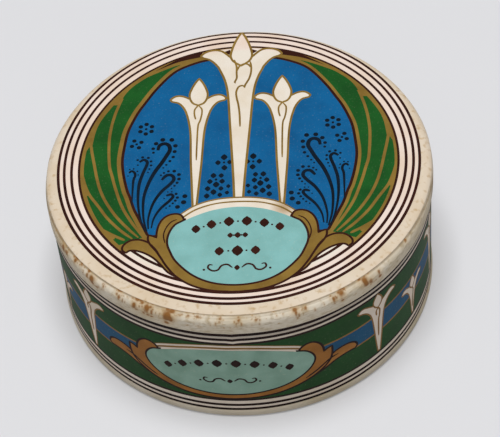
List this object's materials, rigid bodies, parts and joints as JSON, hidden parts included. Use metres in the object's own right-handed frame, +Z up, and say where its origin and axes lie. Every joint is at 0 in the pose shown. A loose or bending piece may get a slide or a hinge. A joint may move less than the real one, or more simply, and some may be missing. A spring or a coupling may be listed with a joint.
{
  "type": "powder box",
  "caption": "Round card powder box: a deep slip lid with ornament-printed papers lifts off a plain inner box on a low plinth.",
  "frame": {"origin": "centre of the underside, on the surface the box stands on", "axes": "+Z up along the box's axis and the way the lid lifts; -Y is the front, where the top ornament's foot and the side label's oval point"},
  "size_m": [0.0798, 0.0798, 0.0324],
  "materials": {
    "card": "rolled and pressed grey-brown card",
    "ivory_paper": "aged matte ivory paper",
    "white_paper": "aged uncoated white paper",
    "top_print": "matte printed label paper",
    "side_print": "matte printed label paper"
  },
  "bodies": {
    "box": {"base_board": "card", "foot_paper": "ivory_paper", "underside_paper": "white_paper", "inner_wall": "card", "inner_wall_paper": "white_paper", "floor_paper": "white_paper"},
    "lid": {"lid_wall": "card", "lid_wall_lining": "white_paper", "rim_hoop": "card", "top_board": "card", "cap_paper": "ivory_paper", "top_label": "top_print", "ceiling_paper": "white_paper", "side_label": "side_print"}
  },
  "joints": [
    {"name": "lid_lift", "type": "slide", "parent": "box", "child": "lid", "axis": [0, 0, 1], "range_m": [0, 0.035]}
  ]
}
